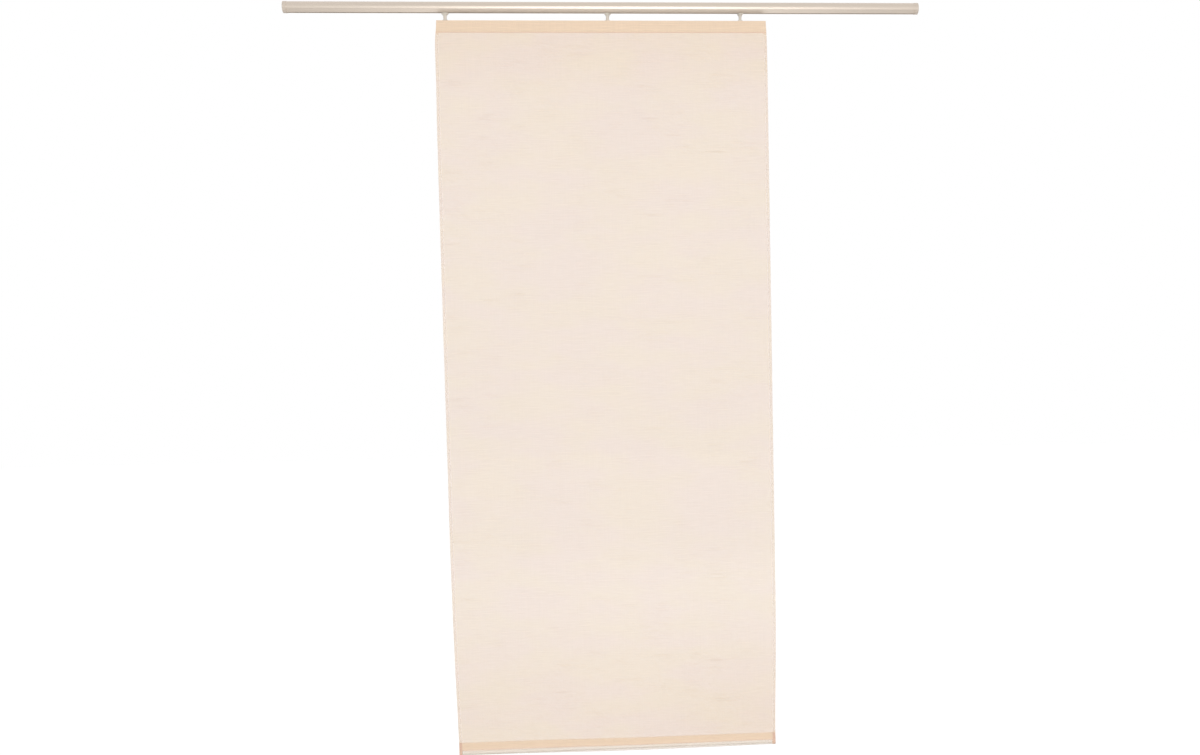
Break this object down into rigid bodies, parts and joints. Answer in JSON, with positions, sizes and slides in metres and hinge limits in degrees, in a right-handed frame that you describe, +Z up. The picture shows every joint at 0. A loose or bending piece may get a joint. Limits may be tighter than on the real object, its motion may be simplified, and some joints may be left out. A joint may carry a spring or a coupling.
{
  "type": "sliding panel curtain",
  "caption": "Flat cloth panel with a weighted lower hem, hung by swivelling gliders from a round rod with an inner track, along which it slides.",
  "frame": {"origin": "middle of the rod's axis", "axes": "+X along the rod to the right as seen from the front, +Z up, and the cloth's front faces -Y"},
  "size_m": [1.16, 0.0238, 1.3944],
  "materials": {
    "rod_metal": "satin",
    "rod_cap": "satin",
    "carrier_metal": "satin",
    "white_plastic": "satin",
    "glider_plastic": "gloss",
    "tape": "matte",
    "cloth": "matte",
    "bar_metal": "gloss"
  },
  "bodies": {
    "rod": {"rod_tube": "rod_metal", "rod_cap_left": "rod_cap", "rod_cap_right": "rod_cap"},
    "panel": {"carrier_bar": "carrier_metal", "carrier_end_left": "white_plastic", "carrier_end_right": "white_plastic", "hook_tape": "tape", "loop_tape": "tape", "panel_cloth": "cloth", "weight_bar": "bar_metal", "weight_bar_cap_left": "white_plastic", "weight_bar_cap_right": "white_plastic"},
    "clip_left": {"panel_clip_left": "glider_plastic"},
    "glider_left": {"glider_left": "glider_plastic"},
    "clip_middle": {"panel_clip_middle": "glider_plastic"},
    "glider_middle": {"glider_middle": "glider_plastic"},
    "clip_right": {"panel_clip_right": "glider_plastic"},
    "glider_right": {"glider_right": "glider_plastic"}
  },
  "joints": [
    {"name": "panel_slide", "type": "slide", "parent": "rod", "child": "panel", "axis": [1, 0, 0], "range_m": [-0.2595, 0.2735]},
    {"name": "clip_left_slide", "type": "slide", "parent": "panel", "child": "clip_left", "axis": [1, 0, 0], "range_m": [-0.0017, 0.1398]},
    {"name": "glider_left_swivel", "type": "hinge", "parent": "clip_left", "child": "glider_left", "pos_m": [-0.292, 0, 0], "axis": [0, 0, 1], "continuous": true},
    {"name": "clip_middle_slide", "type": "slide", "parent": "panel", "child": "clip_middle", "axis": [1, 0, 0], "range_m": [-0.1398, 0.1147]},
    {"name": "glider_middle_swivel", "type": "hinge", "parent": "clip_middle", "child": "glider_middle", "pos_m": [0.0026, 0, 0], "axis": [0, 0, 1], "continuous": true},
    {"name": "clip_right_slide", "type": "slide", "parent": "panel", "child": "clip_right", "axis": [1, 0, 0], "range_m": [-0.1147, 0.0327]},
    {"name": "glider_right_swivel", "type": "hinge", "parent": "clip_right", "child": "glider_right", "pos_m": [0.247, 0, 0], "axis": [0, 0, 1], "continuous": true}
  ]
}
